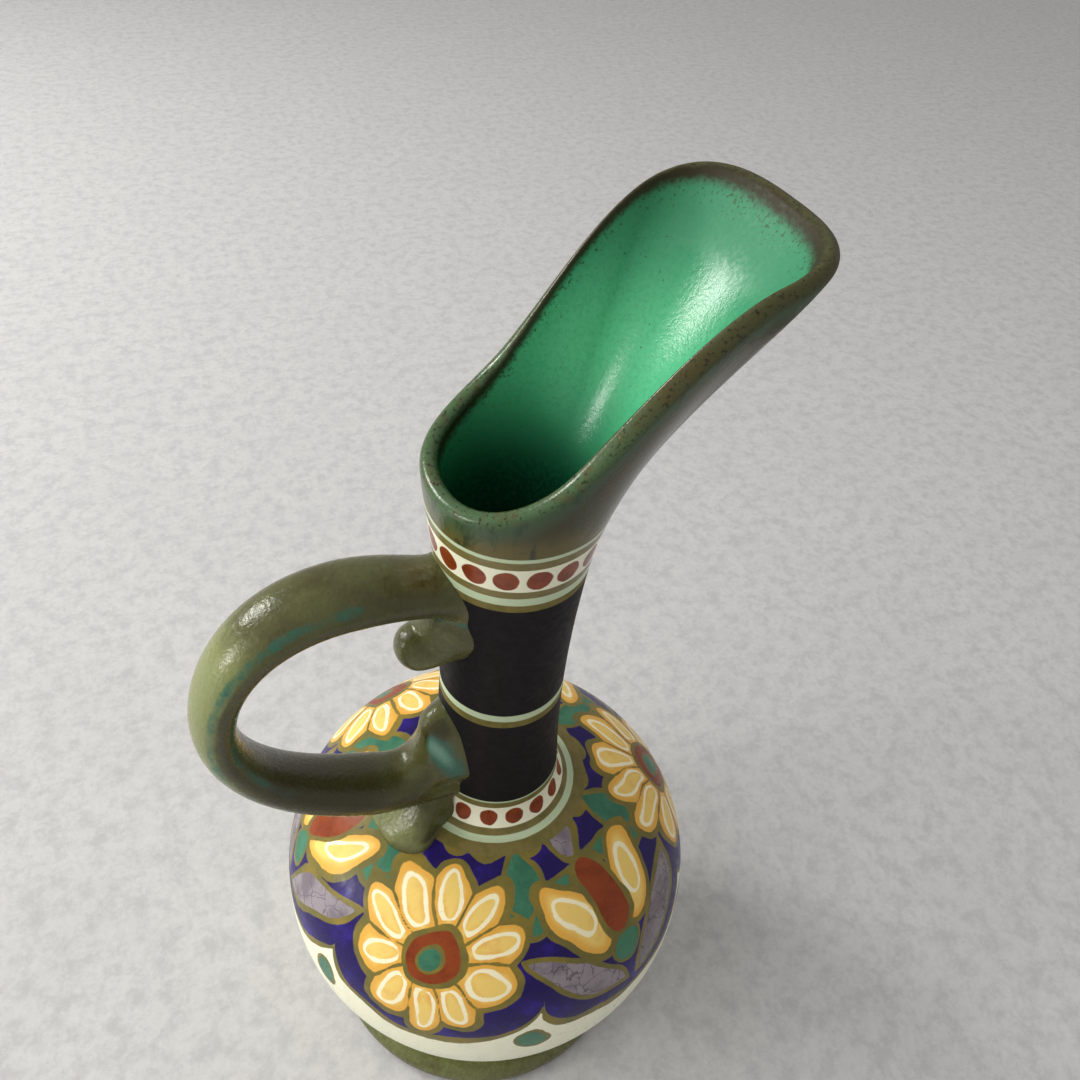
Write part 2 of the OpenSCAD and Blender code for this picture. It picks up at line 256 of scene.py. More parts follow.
def rings(tree, place, wobble, way, color, stripes):
    """Painted rings over a colour, each from one value of way to another, and rust dots on top.

    way is a height above the neck's top or a length down the collar, in millimetres.
    """
    fine = add(tree, "TexNoise", place, Scale=1 / (3 * MM), Detail=3.0)
    way = add(tree, "Math", wobble, RING_WANDER, way, operation="MULTIPLY_ADD")
    olive = lay(tree, linear("#7c7040"), [(fine, 0.35, 0.7, 1.0, OLIVE)])
    rust = lay(tree, linear(RUST), [(fine, 0.3, 0.7, 1.0, BRICK)])
    for low, high, tint in stripes:
        half = (high - low) / 2
        off = add(tree, "Math", way, low + half, operation="SUBTRACT")
        off = add(tree, "Math", off, operation="ABSOLUTE")
        color = lay(tree, color, [(off, half + BRUSHED, half - BRUSHED, 1.0, tint or olive)])
    dot = add(tree, "Attribute", out="Fac", attribute_name="dot")
    dot = add(tree, "Math", dot, wobble, operation="ADD")
    return lay(tree, color, [(dot, BRUSHED, -BRUSHED, 1.0, rust)])


# Rings in millimetres down the collar, above the neck's top and about its waist.
# They are olive where no colour is named.
COLLAR_RINGS = ((-1.0, 18.6, None), (-0.7, 0.7, MINT), (3.0, 10.4, CREAM), (12.6, 14.7, MINT))
TOP_RINGS = ((-3.0, 15.6, None), (-0.6, 2.0, MINT), (4.5, 12.6, CREAM), (15.3, 16.6, MINT))
WAIST_RINGS = ((-3.7, -0.7, None), (-1.1, 1.3, MINT))
WAIST_DROP = TOP_Z - WAIST_Z
NECK_RINGS = TOP_RINGS + tuple((a - WAIST_DROP, b - WAIST_DROP, tint) for a, b, tint in WAIST_RINGS)


def painted_globe():
    """Hand-painted satin glaze: brushed colours in olive outlines on indigo, soft sheen, small flaws."""
    material, tree, place, wobble = bare_material("hand_painted_satin_glaze")
    brush = add(tree, "TexNoise", place, Scale=1 / (9 * MM), Detail=4.0, Roughness=0.6)
    fine = add(tree, "TexNoise", place, Scale=1 / (1.2 * MM), Detail=3.0)
    speck = add(tree, "TexNoise", place, Scale=1 / (0.8 * MM), Detail=2.0)
    bent = add(tree, "TexNoise", place, Scale=1 / (5 * MM), Detail=3.0, out="Color")
    bent = add(tree, "VectorMath", bent, (5 * MM,) * 3, place, operation="MULTIPLY_ADD")
    crack = add(tree, "TexVoronoi", bent, Scale=1 / (6 * MM), feature="DISTANCE_TO_EDGE")
    outline = lay(tree, linear(OLIVE), [(brush, 0.35, 0.7, 1.0, OCHRE)])
    sea = lay(tree, linear(TURQUOISE), [(brush, 0.35, 0.65, 1.0, SEA), (fine, 0.55, 0.75, 0.35, "#1f4d40")])
    lilac = lay(tree, linear(LILAC), [
        (brush, 0.4, 0.65, 1.0, LILAC_DARK), (crack, 0.03, 0.01, 0.6, "#3a3038")])
    pale = lay(tree, linear(CREAM), [(brush, 0.45, 0.8, 1.0, "#e9ebd4")])
    rust = lay(tree, linear(RUST), [(brush, 0.4, 0.7, 1.0, "#762e10"), (fine, 0.55, 0.8, 0.4, "#a35524")])
    depth = add(tree, "Attribute", out="Fac", attribute_name="petal")
    yellow = lay(tree, linear(STRAW), [
        (depth, -3.6, -0.6, 1.0, YELLOW), (brush, 0.5, 0.75, 0.35, "#d98f35")])
    color = lay(tree, linear(INDIGO), [(brush, 0.45, 0.75, 1.0, VIOLET), (fine, 0.6, 0.85, 0.5, NIGHT)])
    # Name of the field, width of the olive line round it in millimetres, and colour
    painted = (
        ("pale_zone", 2.6, pale), ("swag", 0.0, outline), ("pale_dot", 1.2, sea), ("lappet", 0.0, outline),
        ("leaf", 1.7, sea), ("lilac", 1.9, lilac), ("petal", 2.1, yellow), ("stroke", 0.0, PALE_STRAW),
        ("bloom", 1.7, rust), ("heart", 1.0, sea))
    for name, line, tint in painted:
        edge = add(tree, "Attribute", out="Fac", attribute_name=name)
        edge = add(tree, "Math", edge, wobble, operation="ADD")
        if line:
            color = lay(tree, color, [(edge, line + BRUSHED, line - BRUSHED, 1.0, outline)])
        color = lay(tree, color, [(edge, BRUSHED, -BRUSHED, 1.0, tint)])
    way = add(tree, "Attribute", out="Fac", attribute_name="ring")
    color = rings(tree, place, wobble, way, color, COLLAR_RINGS)
    color = lay(tree, color, [(speck, 0.71, 0.76, 0.45, "#3a3520")])
    cloud = add(tree, "TexNoise", place, Scale=1 / (2.5 * MM), Detail=4.0)
    grit = add(tree, "TexNoise", place, Scale=1 / (1.6 * MM), Detail=4.0)
    fire(tree, color, (0.26, 0.42, cloud), grit, bump_mm=0.035, gloss=0.3)
    return material


def black_neck():
    """Matt blue-black slip glaze on the neck, with a faint grey bloom, under painted rings."""
    material, tree, place, wobble = bare_material("matt_black_slip_glaze")
    bloom = add(tree, "TexNoise", place, Scale=1 / (6 * MM), Detail=4.0)
    color = lay(tree, linear(BLACK), [(bloom, 0.45, 0.8, 0.5, "#232124")])
    high = add(tree, "SeparateXYZ", place, out="Z")
    rise = add(tree, "Math", high, 1 / MM, -TOP_Z, operation="MULTIPLY_ADD")
    color = rings(tree, place, wobble, rise, color, NECK_RINGS)
    # The bore inside is painted in the darkest green, as shade deep in the neck
    inner = add(tree, "Attribute", out="Fac", attribute_name="inside")
    color = lay(tree, color, [(inner, 0.4, 0.6, 1.0, BORE_SHADE_GREEN)])
    cloud = add(tree, "TexNoise", place, Scale=1 / (2 * MM), Detail=4.0)
    grit = add(tree, "TexNoise", place, Scale=1 / (1.4 * MM), Detail=4.0)
    fire(tree, color, (0.5, 0.66, cloud), grit, bump_mm=0.04, gloss=0.14)
    return material


def spout_glaze():
    """Running satin glaze: emerald inside with painted shade, speckled olive-brown lip, streaked olive
    green outside.

    rise is the height above the neck's top and lip the way over the lip, both in millimetres. The way is
    below 0 outside and above 0 inside, and frayed by a noise, so that one glaze runs into the next.
    """
    material, tree, place, wobble = bare_material("running_green_glaze")
    tall = add(tree, "Mapping", place, Scale=(1.0, 1.0, 0.35))
    streak = add(tree, "TexNoise", tall, Scale=1 / (5 * MM), Detail=5.0, Roughness=0.65, Distortion=0.6)
    run = add(tree, "TexNoise", place, Scale=1 / (7 * MM), Detail=4.0, Roughness=0.6, Distortion=1.0)
    fine = add(tree, "TexNoise", place, Scale=1 / (1.1 * MM), Detail=4.0, Roughness=0.6)
    speck = add(tree, "TexNoise", place, Scale=1 / (0.9 * MM), Detail=3.0, Roughness=0.6)
    fray = add(tree, "TexNoise", place, Scale=1 / (2 * MM), Detail=5.0, Roughness=0.7)
    lip = add(tree, "Attribute", out="Fac", attribute_name="lip")
    lip = add(tree, "Math", fray, LIP_FRAY, lip, operation="MULTIPLY_ADD")
    lip = add(tree, "Math", lip, LIP_FRAY / 2, operation="SUBTRACT")
    high = add(tree, "SeparateXYZ", place, out="Z")
    rise = add(tree, "Math", high, 1 / MM, -TOP_Z, operation="MULTIPLY_ADD")
    near_lip = add(tree, "MapRange", lip, 13.0, 5.0, 0.0, 0.14)
    dense = add(tree, "Math", speck, near_lip, operation="ADD")
    # Emerald inside with painted shade: darkest deep down the bore, lightest at mid height, darker again
    # towards the crest
    emerald = lay(tree, linear(BORE_SHADE_GREEN), [
        (rise, 7.0, 44.0, 1.0, "#4bab7a"), (rise, 46.0, 74.0, 1.0, "#33805b"),
        (fine, 0.4, 0.75, 0.3, "#1f7550"), (dense, 0.65, 0.74, 0.75, "#2c4425")])
    specks = (speck, 0.55, 0.66, 0.85, "#1f2012")
    speckled = lay(tree, linear("#4c5030"), [
        (run, 0.35, 0.55, 0.9, "#43603f"), (rise, 36.0, 63.0, 0.8, "#463f20"), specks])
    brown = lay(tree, linear("#262009"), [specks])
    color = lay(tree, linear("#3a3718"), [
        (rise, 27.0, 18.0, 0.9, "#655a2a"), (streak, 0.45, 0.68, 0.9, "#3c4a2e"),
        (run, 0.58, 0.75, 0.7, "#2a3626"), (lip, -11.0, -4.0, 0.6, "#3c5f43"),
        (streak, 0.5, 0.64, 0.75, "#2b3322"), (lip, -4.5, -1.5, 1.0, speckled),
        (lip, 1.2, 3.0, 0.9, brown), (lip, 4.0, 7.6, 1.0, emerald)])
    inner = add(tree, "Attribute", out="Fac", attribute_name="inside")
    ringed = rings(tree, place, wobble, rise, color, TOP_RINGS)
    color = lay(tree, ringed, [(inner, 0.4, 0.6, 1.0, color)])
    cloud = add(tree, "TexNoise", place, Scale=1 / (1.2 * MM), Detail=4.0)
    matt = add(tree, "MapRange", rise, 62.0, 72.0, 0.0, 0.45, interpolation_type="SMOOTHSTEP")
    cloud = add(tree, "Math", cloud, 0.5, matt, operation="MULTIPLY_ADD")
    fire(tree, color, (0.2, 0.6, cloud), fine, bump_mm=0.08, gloss=0.38)
    return material


def olive_glaze():
    """Thick satin olive glaze of handle and foot: brown, partly painted shade, pale sage, partly painted
    light, turquoise where pooled.
    """
    material, tree, place, _ = bare_material("thick_olive_glaze")
    cloud = add(tree, "TexNoise", place, Scale=1 / (14 * MM), Detail=4.0, Roughness=0.6)
    streak = add(tree, "TexNoise", place, Scale=1 / (4 * MM), Detail=5.0, Roughness=0.65, Distortion=0.8)
    patch = add(tree, "TexNoise", place, Scale=1 / (7 * MM), Detail=5.0, Roughness=0.7)
    speck = add(tree, "TexNoise", place, Scale=1 / (0.9 * MM), Detail=3.0, Roughness=0.6)
    grit = add(tree, "TexNoise", place, Scale=1 / (1.1 * MM), Detail=4.0)
    color = lay(tree, linear("#54552f"), [
        (cloud, 0.4, 0.7, 1.0, "#45421f"), (streak, 0.5, 0.75, 0.4, "#666a3e")])
    # Name of the field, the noise that breaks it up and how much, where it begins, and colour
    shares = (
        ("pale", streak, 0.6, 0.45, OLIVE_PALE), ("brown", streak, 0.6, 0.45, OLIVE_DARK),
        ("pool", patch, 1.8, 1.1, "#2a6351"))
    for name, uneven, amount, start, tint in shares:
        share = add(tree, "Attribute", out="Fac", attribute_name=name)
        share = add(tree, "Math", uneven, amount, share, operation="MULTIPLY_ADD")
        color = lay(tree, color, [(share, start, start + 0.7, 0.95, tint)])
    glassy = add(tree, "Attribute", out="Fac", attribute_name="glassy")
    color = lay(tree, color, [(glassy, 0.1, 1.0, 0.9, "#86b09c"), (speck, 0.62, 0.74, 0.25, "#26270f")])
    cloud = add(tree, "TexNoise", place, Scale=1 / (1.5 * MM), Detail=4.0)
    fire(tree, color, (0.16, 0.36, cloud), grit, bump_mm=0.15, gloss=0.5)
    return material


# Painted fields of the globe: about the distance in millimetres to each motif, below 0 inside it

PAINTED = ("pale_zone", "swag", "pale_dot", "lappet", "leaf", "lilac", "petal", "stroke", "bloom", "heart")
# Farthest distance that is kept, and values that stand for no ring and for the way inside the belly
FAR, NO_RING, BELOW = 9.0, 99.0, -40.0
FIRST_TULIP, TULIPS = -68.0, 3
MOTIF_R, SPRIG_R = 55.0, 48.0
PETALS, LAPPETS = 10, 16
# Rows of dots: count, first angle, place down the collar or above the neck's top, half width and height
DOT_COLLAR = (16, -116.0, 6.8, 2.65, 2.9)
DOT_NECK = (17, -117.0, 8.4, 3.05, 3.3)
# Motifs in millimetres, in their own axes: half axes of ovals, length and width of leaves, places, leans
PETAL, PETAL_AT, PETAL_GAP = (11.0, 6.6), 15.0, 0.4
LOOP, LOOP_LINE, LOOP_AT, LOOP_OPEN = (6.8, 3.0), 0.6, 17.0, 10.4
DISC_R, EYE_R = 7.6, 3.2
TULIP_PETAL, TULIP_PETAL_AT = (5.6, 12.5), 8.5
SIDE_PETAL, SIDE_PETAL_AT, SIDE_PETAL_LEAN = (6.2, 13.0), (10.8, 6.0), -27.0
SIDE_LOOP_AT, SIDE_LOOP_OPEN = 2.0, -8.0
LONG_LEAF, LONG_LEAF_AT, LONG_LEAF_LEAN = (34.0, 12.0), (17.0, -11.0), -52.0
BUD, BUD_AT = (15.0, 8.0), 30.0
SEED_R, SEED_AT = 4.4, -9.5
TOP_LEAF, TOP_LEAF_AT = (19.0, 8.4), 12.0
SIDE_LEAF, SIDE_LEAF_AT, SIDE_LEAF_LEAN = (18.0, 7.4), (8.0, 5.0), -48.0
PALE_UP, PALE_SCALLOP = 5.0, 15.0
PALE_DOT_UP, PALE_DOT_R = 6.0, 4.2
SWAG_DOWN, SWAG_DIP, SWAG_LINE = 18.0, 4.0, 1.2
LAPPET_UP, LAPPET_DROP = 2.5, 3.5
# Waves of the painter's hand: how far, waves round the globe, millimetres up to a radian, and start
WAVES_ROUND = ((1.1, 7, 6.0, 0.0), (0.8, 13, -4.0, 1.0))
WAVES_UP = ((0.7, 9, 5.0, 2.0), (0.5, 17, -3.0, 0.0))


def offset(angle, first, pitch):
    """Angle in degrees to the nearest of evenly spaced places round the axis."""
    return (angle - first + pitch / 2) % pitch - pitch / 2


def dots(angle, radius, way, row):
    """Field of a row of oval dots round a ring."""
    count, first, place, wide, high = row
    u = np.radians(offset(angle, first, 360 / count)) * radius
    return np.clip(ellipse_field(u, way - place, wide, high), -FAR, FAR)


def petal_loop(along, across):
    """Thin loop of light paint inside a petal."""
    return np.abs(ellipse_field(along, across, *LOOP)) - LOOP_LINE


def rosette(u, v):
    """Ten oval petals that touch, round a disc, with a loop of light paint in each petal."""
    d = np.hypot(u, v)
    pitch = 360 / PETALS
    swing = np.radians(offset(np.degrees(np.arctan2(v, u)), pitch / 2, pitch))
    along, across = d * np.cos(swing), d * np.sin(swing)
    gap = d * (np.abs(swing) - math.radians(pitch / 2)) + PETAL_GAP
    petal = np.maximum(ellipse_field(along - PETAL_AT, across, *PETAL), gap)
    stroke = np.maximum(petal_loop(along - LOOP_AT, across), LOOP_OPEN - along)
    return petal, stroke, d - DISC_R, d - EYE_R


def tulip(u, v):
    """One petal between two that lean out, a bud above, a small disc and two long leaves below."""
    middle = ellipse_field(u, v - TULIP_PETAL_AT, *TULIP_PETAL)
    a, b = turn(np.abs(u) - SIDE_PETAL_AT[0], v - SIDE_PETAL_AT[1], SIDE_PETAL_LEAN)
    side = ellipse_field(a, b, *SIDE_PETAL)
    stroke = np.maximum(petal_loop(b - SIDE_LOOP_AT, a), SIDE_LOOP_OPEN - b)
    a, b = turn(np.abs(u) - LONG_LEAF_AT[0], v - LONG_LEAF_AT[1], LONG_LEAF_LEAN)
    lilac = np.minimum(leaf_field(a, b, *LONG_LEAF), leaf_field(u, v - BUD_AT, *BUD))
    return middle, side, stroke, lilac, np.hypot(u, v - SEED_AT) - SEED_R


def sprig(u, v):
    """Three leaves that spread from one point."""
    leaf = leaf_field(u, v - TOP_LEAF_AT, *TOP_LEAF)
    a, b = turn(np.abs(u) - SIDE_LEAF_AT[0], v - SIDE_LEAF_AT[1], SIDE_LEAF_LEAN)
    return np.minimum(leaf, leaf_field(a, b, *SIDE_LEAF))


def by_hand(angle, way):
    """Place that a steady hand would have painted: slow waves shift each motif round and up a little."""
    a = np.radians(angle)
    shift_round, shift_up = (
        sum(far * np.sin(waves * a + way / up + start) for far, waves, up, start in table)
        for table in (WAVES_ROUND, WAVES_UP))
    return angle + shift_round, way + shift_up


def globe_fields(angle, radius, way, outer):
    """All painted fields on the globe at an angle, a radius and a way up from the girth."""
    angle, way = by_hand(angle, way)
    up = np.interp([GLOBE_R - MOTIF_R, GLOBE_R - SPRIG_R], GLOBE_R - DOME_LINE[:, 0], DOME_WAY)
    pitch = 360 / TULIPS
    around = np.radians(offset(angle, FIRST_TULIP, pitch)) * radius
    middle, side, light, lilac, heart = tulip(around, way - up[0])
    around = np.radians(offset(angle, FIRST_TULIP + pitch / 2, pitch)) * radius
    petal, stroke, disc, eye = rosette(around, way - up[0])
    between = offset(angle, FIRST_TULIP + pitch / 4, pitch / 2)
    around = np.radians(between) * radius
    spread = 1 - np.abs(between) / (pitch / 4)
    scallop = 1 - np.sqrt(np.maximum(0, 1 - spread ** 2))
    dip = SWAG_DIP * np.cos(np.radians(between * TULIPS * 2))
    lappet = offset(angle, FIRST_TULIP, 360 / LAPPETS) * LAPPETS / 180
    lappet = LAPPET_DROP * np.sqrt(np.maximum(0, 1 - lappet ** 2))
    fields = {
        "pale_zone": way - (PALE_UP + PALE_SCALLOP * scallop),
        "swag": np.abs(way + SWAG_DOWN - dip) - SWAG_LINE,
        "pale_dot": np.hypot(around, way - PALE_DOT_UP) - PALE_DOT_R,
        "lappet": DOME_WAY[-1] - LAPPET_UP - lappet - way,
        "leaf": sprig(around, way - up[1]), "lilac": lilac, "petal": np.minimum(petal, side),
        "stroke": np.minimum(stroke, light), "bloom": np.minimum(middle, disc),
        "heart": np.minimum(heart, eye)}
    inner = {name: -FAR if name == "pale_zone" else FAR for name in PAINTED}
    return {name: np.where(outer, np.clip(f, -FAR, FAR), inner[name]) for name, f in fields.items()}


def line_way(line):
    """Length along a line up to each of its points."""
    return np.concatenate([[0], np.cumsum(np.linalg.norm(np.diff(line, axis=0), axis=1))])


# Columns of points round each turned piece, and points along its skin and its hollow
FOOT_SIDES, BELLY_SIDES, SHOULDER_SIDES, COLLAR_SIDES, NECK_SIDES = 192, 576, 640, 384, 320
FOOT_STEPS, BELLY_STEPS, DOME_STEPS, COVE_STEPS, NECK_STEPS = 25, 86, 130, 44, 110
FOOT_HOLLOW_STEPS, BELLY_HOLLOW_STEPS, DOME_HOLLOW_STEPS, BORE_STEPS = 14, 24, 12, 30

DOME_LINE = superellipse(GLOBE_R, DOME_H, COLLAR_R, DOME_STEPS)
DOME_WAY = line_way(DOME_LINE)
QUARTER = np.linspace(0, math.pi / 2, FINE_STEPS)
COVE_LINE = even(np.stack([COLLAR_R - (COLLAR_R - NECK_BASE) * np.sin(QUARTER),
                           NECK_Z - COLLAR_H * np.cos(QUARTER)], -1), COVE_STEPS)
COVE_WAY = line_way(COVE_LINE)

# Share of pale glaze on the foot, share of brown painted as shade near the ground, and the heights between
# which it sets in
FOOT_PALE, FOOT_SHADE_BROWN, SHADE_FROM, SHADE_FULL = 0.4, 0.8, 6.5, 1.5


def turned_piece(name, outline, around, material, fields, weld=False):
    """A turned piece that stands for the node of its name, with its painted fields."""
    pts, faces = turned(outline, around)
    named = {key: np.broadcast_to(value, (around, len(outline))) for key, value in fields.items()}
    return piece(name + "_glazed", pts, faces, material, [name], named, weld)


def angles(count):
    """Angles round the axis in degrees, one per column of a turned piece."""
    return np.degrees(np.linspace(0, 2 * np.pi, count, endpoint=False))[:, None]


def make_foot(material):
    """Foot: resting ring, round bead at the edge and a cove up to the waist, hollow below."""
    bead_r = FOOT_R - FOOT_BEAD
    a = np.linspace(0, math.pi, FOOT_STEPS)
    bead = np.stack([bead_r + FOOT_BEAD * np.sin(a), FOOT_BEAD * (1 - np.cos(a))], -1)
    a = np.linspace(0, math.pi / 2, FOOT_STEPS)[1:]
    high = FOOT_H - 2 * FOOT_BEAD
    cove = np.stack([bead_r - (bead_r - FOOT_WAIST) * np.sin(a),
                     2 * FOOT_BEAD + high * (1 - np.cos(a))], -1)
    seat = FOOT_WAIST - WALL
    under = np.linspace([seat, FOOT_H - WALL], [bead_r - FOOT_REST, 0.0], FOOT_HOLLOW_STEPS)
    outline = np.concatenate([bead, cove, [[seat, FOOT_H]], under])
    # Brown painted as shade, growing down towards the resting ring where the foot meets the paper
    brown = FOOT_SHADE_BROWN * smooth(SHADE_FROM, SHADE_FULL, outline[:, 1])[None, :]
    none = 0 * brown
    return turned_piece("foot_ring", outline, FOOT_SIDES, material,
                        {"pale": FOOT_PALE + none, "brown": brown, "pool": none, "glassy": none})


def make_belly(material):
    """Lower half of the globe: an ellipse from the waist to the girth, with wall and floor."""
    z = np.linspace(FOOT_H, GIRTH, FINE_STEPS)
    skin = even(np.stack([GLOBE_R * np.sqrt(1 - ((GIRTH - z) / BELLY_H) ** 2), z], -1), BELLY_STEPS)
    z = np.linspace(GIRTH, FOOT_H + WALL, BELLY_HOLLOW_STEPS)
    hollow = np.stack([(GLOBE_R - WALL) * np.sqrt(1 - ((GIRTH - z) / (BELLY_H - WALL)) ** 2), z], -1)
    seat = FOOT_WAIST - WALL - SLIP_GAP
    under = [[0, FOOT_H - WALL], [seat, FOOT_H - WALL], [seat, FOOT_H]]
    outline = np.concatenate([under, skin, hollow, [[0, FOOT_H + WALL]]])
    on_skin = slice(len(under), len(under) + len(skin))
    way = np.full(len(outline), BELOW)
    way[on_skin] = line_way(skin) - line_way(skin)[-1]
    outer = np.zeros(len(outline), bool)
    outer[on_skin] = True
    fields = globe_fields(angles(BELLY_SIDES), outline[:, 0][None, :], way[None, :], outer[None, :])
    fields.update(ring=np.full((1, len(outline)), NO_RING), dot=np.full((1, len(outline)), FAR))
    return turned_piece("belly", outline, BELLY_SIDES, material, fields, weld=True)


def make_shoulder(material):
    """Upper half of the globe: a superellipse from the girth to the collar, with its wall."""
    hollow = superellipse(GLOBE_R - WALL, DOME_H - WALL, COLLAR_R - NECK_WALL, DOME_HOLLOW_STEPS)[::-1]
    outline = np.concatenate([DOME_LINE, hollow])
    way = np.concatenate([DOME_WAY, np.zeros(len(hollow))])
    outer = np.arange(len(outline)) < len(DOME_LINE)
    fields = globe_fields(angles(SHOULDER_SIDES), outline[:, 0][None, :], way[None, :], outer[None, :])
    ring = np.where(outer, COVE_WAY[-1] + DOME_WAY[-1] - way, NO_RING)
    fields.update(ring=ring[None, :], dot=np.full((1, len(outline)), FAR))
    return turned_piece("shoulder", outline, SHOULDER_SIDES, material, fields)


def make_collar(material):
    """Collar: a quarter ellipse from the shoulder up into the neck, with its bore."""
    bore = NECK_BASE - NECK_WALL
    under = COLLAR_Z - LAP
    outline = np.concatenate([COVE_LINE, [[bore, NECK_Z], [bore, under], [COLLAR_R - NECK_WALL, under]]])
    ring = np.full(len(outline), NO_RING)
    ring[:len(COVE_LINE)] = COVE_WAY[-1] - COVE_WAY
    fields = {name: np.full((1, len(outline)), FAR) for name in PAINTED}
    spots = dots(angles(COLLAR_SIDES), outline[:, 0][None, :], ring[None, :], DOT_COLLAR)
    fields.update(ring=ring[None, :], dot=spots)
    return turned_piece("neck_collar", outline, COLLAR_SIDES, material, fields)


def make_neck(material):
    """Neck: two parabolas, slim at the waist, with its bore."""
    z = np.linspace(NECK_Z, TOP_Z, NECK_STEPS)
    skin = np.stack([neck_radius(z), z], -1)
    bore = np.linspace(TOP_Z, NECK_Z, BORE_STEPS)
    bore = np.stack([neck_radius(bore) - NECK_WALL, bore], -1)
    outline = np.concatenate([skin, bore])
    inside = (np.arange(len(outline)) >= len(skin)).astype(float)[None, :]
    spots = dots(angles(NECK_SIDES), outline[:, 0][None, :], outline[:, 1][None, :] - TOP_Z, DOT_NECK)
    return turned_piece("neck", outline, NECK_SIDES, material,
                        {"dot": np.where(inside > 0, FAR, spots), "inside": inside})


# Spout

# Middle of the lip above the neck's top at its back, waist, crest and tip
LIP_BACK, LIP_WAIST = (-19.8, 0.0, 23.4), (2.3, 23.1, 36.6)
LIP_CREST, LIP_TIP = (40.6, 26.5, 76.2), (57.0, 0.0, 80.0)
# Shares of the lip's spans that its curves run on straight, and of the wall's height at its two ends
BACK_SPREAD, WAIST_RUN, CREST_RUN, CREST_LEAN, TIP_SPREAD = 0.76, 0.24, 0.86, 0.36, 0.42
WALL_START, WALL_END = 0.4, 0.2
# Points along the lip's back, side and front, up the wall and over the lip
LIP_STEPS, WALL_STEPS, CAP_STEPS = (71, 51, 35), 56, 15


def lip_line():
    """Middle of the lip, one side then the other: three cubic curves and their mirror."""
    back, waist, crest, tip = (np.array(p) for p in (LIP_BACK, LIP_WAIST, LIP_CREST, LIP_TIP))
    at_back, at_tip = [0, BACK_SPREAD * waist[1], 0], [0, TIP_SPREAD * crest[1], 0]
    at_waist = WAIST_RUN * (crest - waist)
    at_crest = CREST_RUN * (tip[0] - crest[0]) * np.array([1, 0, CREST_LEAN])
    t_low, t_side, t_front = (np.linspace(0, 1, count) for count in LIP_STEPS)
    low = bezier([back, back + at_back, waist - at_waist, waist], t_low)
    side = bezier([waist, waist + at_waist, crest - at_crest, crest], t_side)
    front = bezier([crest, crest + at_crest, tip + at_tip, tip], t_front)
    half = np.concatenate([low, side[1:], front[1:]])
    other = half[-2:0:-1] * [1, -1, 1]
    return np.concatenate([half, other])


def make_spout(material):
    """Spout: in each upright plane the wall leaves the neck along its slope and ends in a round lip."""
    lip = lip_line()
    reach = np.hypot(lip[:, 0], lip[:, 1])
    out_dir = lip[:, :2] / reach[:, None]
    rise = np.stack([reach - NECK_TOP, lip[:, 2]], -1)
    run = np.linalg.norm(rise, axis=1, keepdims=True)
    up = rise / run
    out = np.stack([up[:, 1], -up[:, 0]], -1)
    half = NECK_WALL / 2
    slope = 2 * (NECK_TOP - NECK_R) / (TOP_Z - WAIST_Z)
    start = np.array([slope, 1]) / math.hypot(slope, 1)
    edge = np.stack([reach, lip[:, 2]], -1)

    def wall(foot, top, t):
        """Side of the wall from its foot to its top, for all planes at once."""
        a = np.broadcast_to(foot, top.shape)
        b, c = a + WALL_START * run * start, top - WALL_END * run * up
        return cubic(*(q[:, None, :] for q in (a, b, c, top)), t[None, :, None])

    t = np.linspace(0, 1, WALL_STEPS)
    turnover = np.linspace(0, math.pi, CAP_STEPS)[1:-1][None, :, None]
    outer = wall([NECK_TOP, 0], edge + half * out, t)
    cap = edge[:, None] + half * (np.cos(turnover) * out[:, None] + np.sin(turnover) * up[:, None])
    inner = wall([NECK_TOP - NECK_WALL, 0], edge - half * out, t[::-1])
    flat = np.concatenate([outer, cap, inner], axis=1)
    steps = np.linalg.norm(np.diff(flat, axis=1), axis=2)
    way = np.concatenate([np.zeros((len(lip), 1)), np.cumsum(steps, axis=1)], axis=1)
    crest = len(t) + turnover.shape[1] // 2
    way = way - way[:, [crest]]
    far, high = flat[..., 0], flat[..., 1]
    pts = np.stack([far * out_dir[:, None, 0], far * out_dir[:, None, 1], TOP_Z + high], -1)
    inside = np.zeros(flat.shape[:2])
    inside[:, crest:] = 1.0
    angle = np.degrees(np.arctan2(out_dir[:, 1], out_dir[:, 0]))[:, None]
    spots = np.where(inside > 0, FAR, dots(angle, far, high, DOT_NECK))
    faces = grid_faces(len(lip), flat.shape[1], True, True)[:, ::-1]
    return piece("spout_glazed", pts.reshape(-1, 3), faces, material, ["spout"],
                 {"lip": way, "inside": inside, "dot": spots})


# Handle: strap, scroll, spur and tongue as one soft body of clay

HANDLE_TURN = 5.0
HANDLE_REACH, BEND_H, TOP_DROP, LOW_DROP = 76.6, 53.1, 8.6, 1.0
ROOT_W, ROOT_T, BEND_W, BEND_T = 20.8, 12.6, 16.8, 10.4
SCROLL_REACH, SCROLL_DROP, SCROLL_R = 30.5, 16.2, 5.4
SPUR_H, SPUR_W, SPUR_T = 29.5, 22.4, 7.0
TONGUE_REACH, TONGUE_W = 39.0, 30.0
HANDLE_TOP, HANDLE_LOW, BEND_Z = TOP_Z - TOP_DROP, NECK_Z - LOW_DROP, NECK_Z + BEND_H
ROOT_X = NECK_R - NECK_WALL / 2
# Shares of the strap's span that it swings out and up from its roots, and of its height at the bend
UPPER_SWING, UPPER_BEND = (0.75, 0.4), 0.74
LOWER_SWING, LOWER_BEND = (0.6, 0.11), 0.42
# Shares of the strap's width that are pinched off at its roots, and of its length that the pinch takes
UPPER_PINCH, UPPER_PINCH_RUN = 0.16, 0.12
LOWER_PINCH, LOWER_PINCH_RUN = 0.3, 0.14
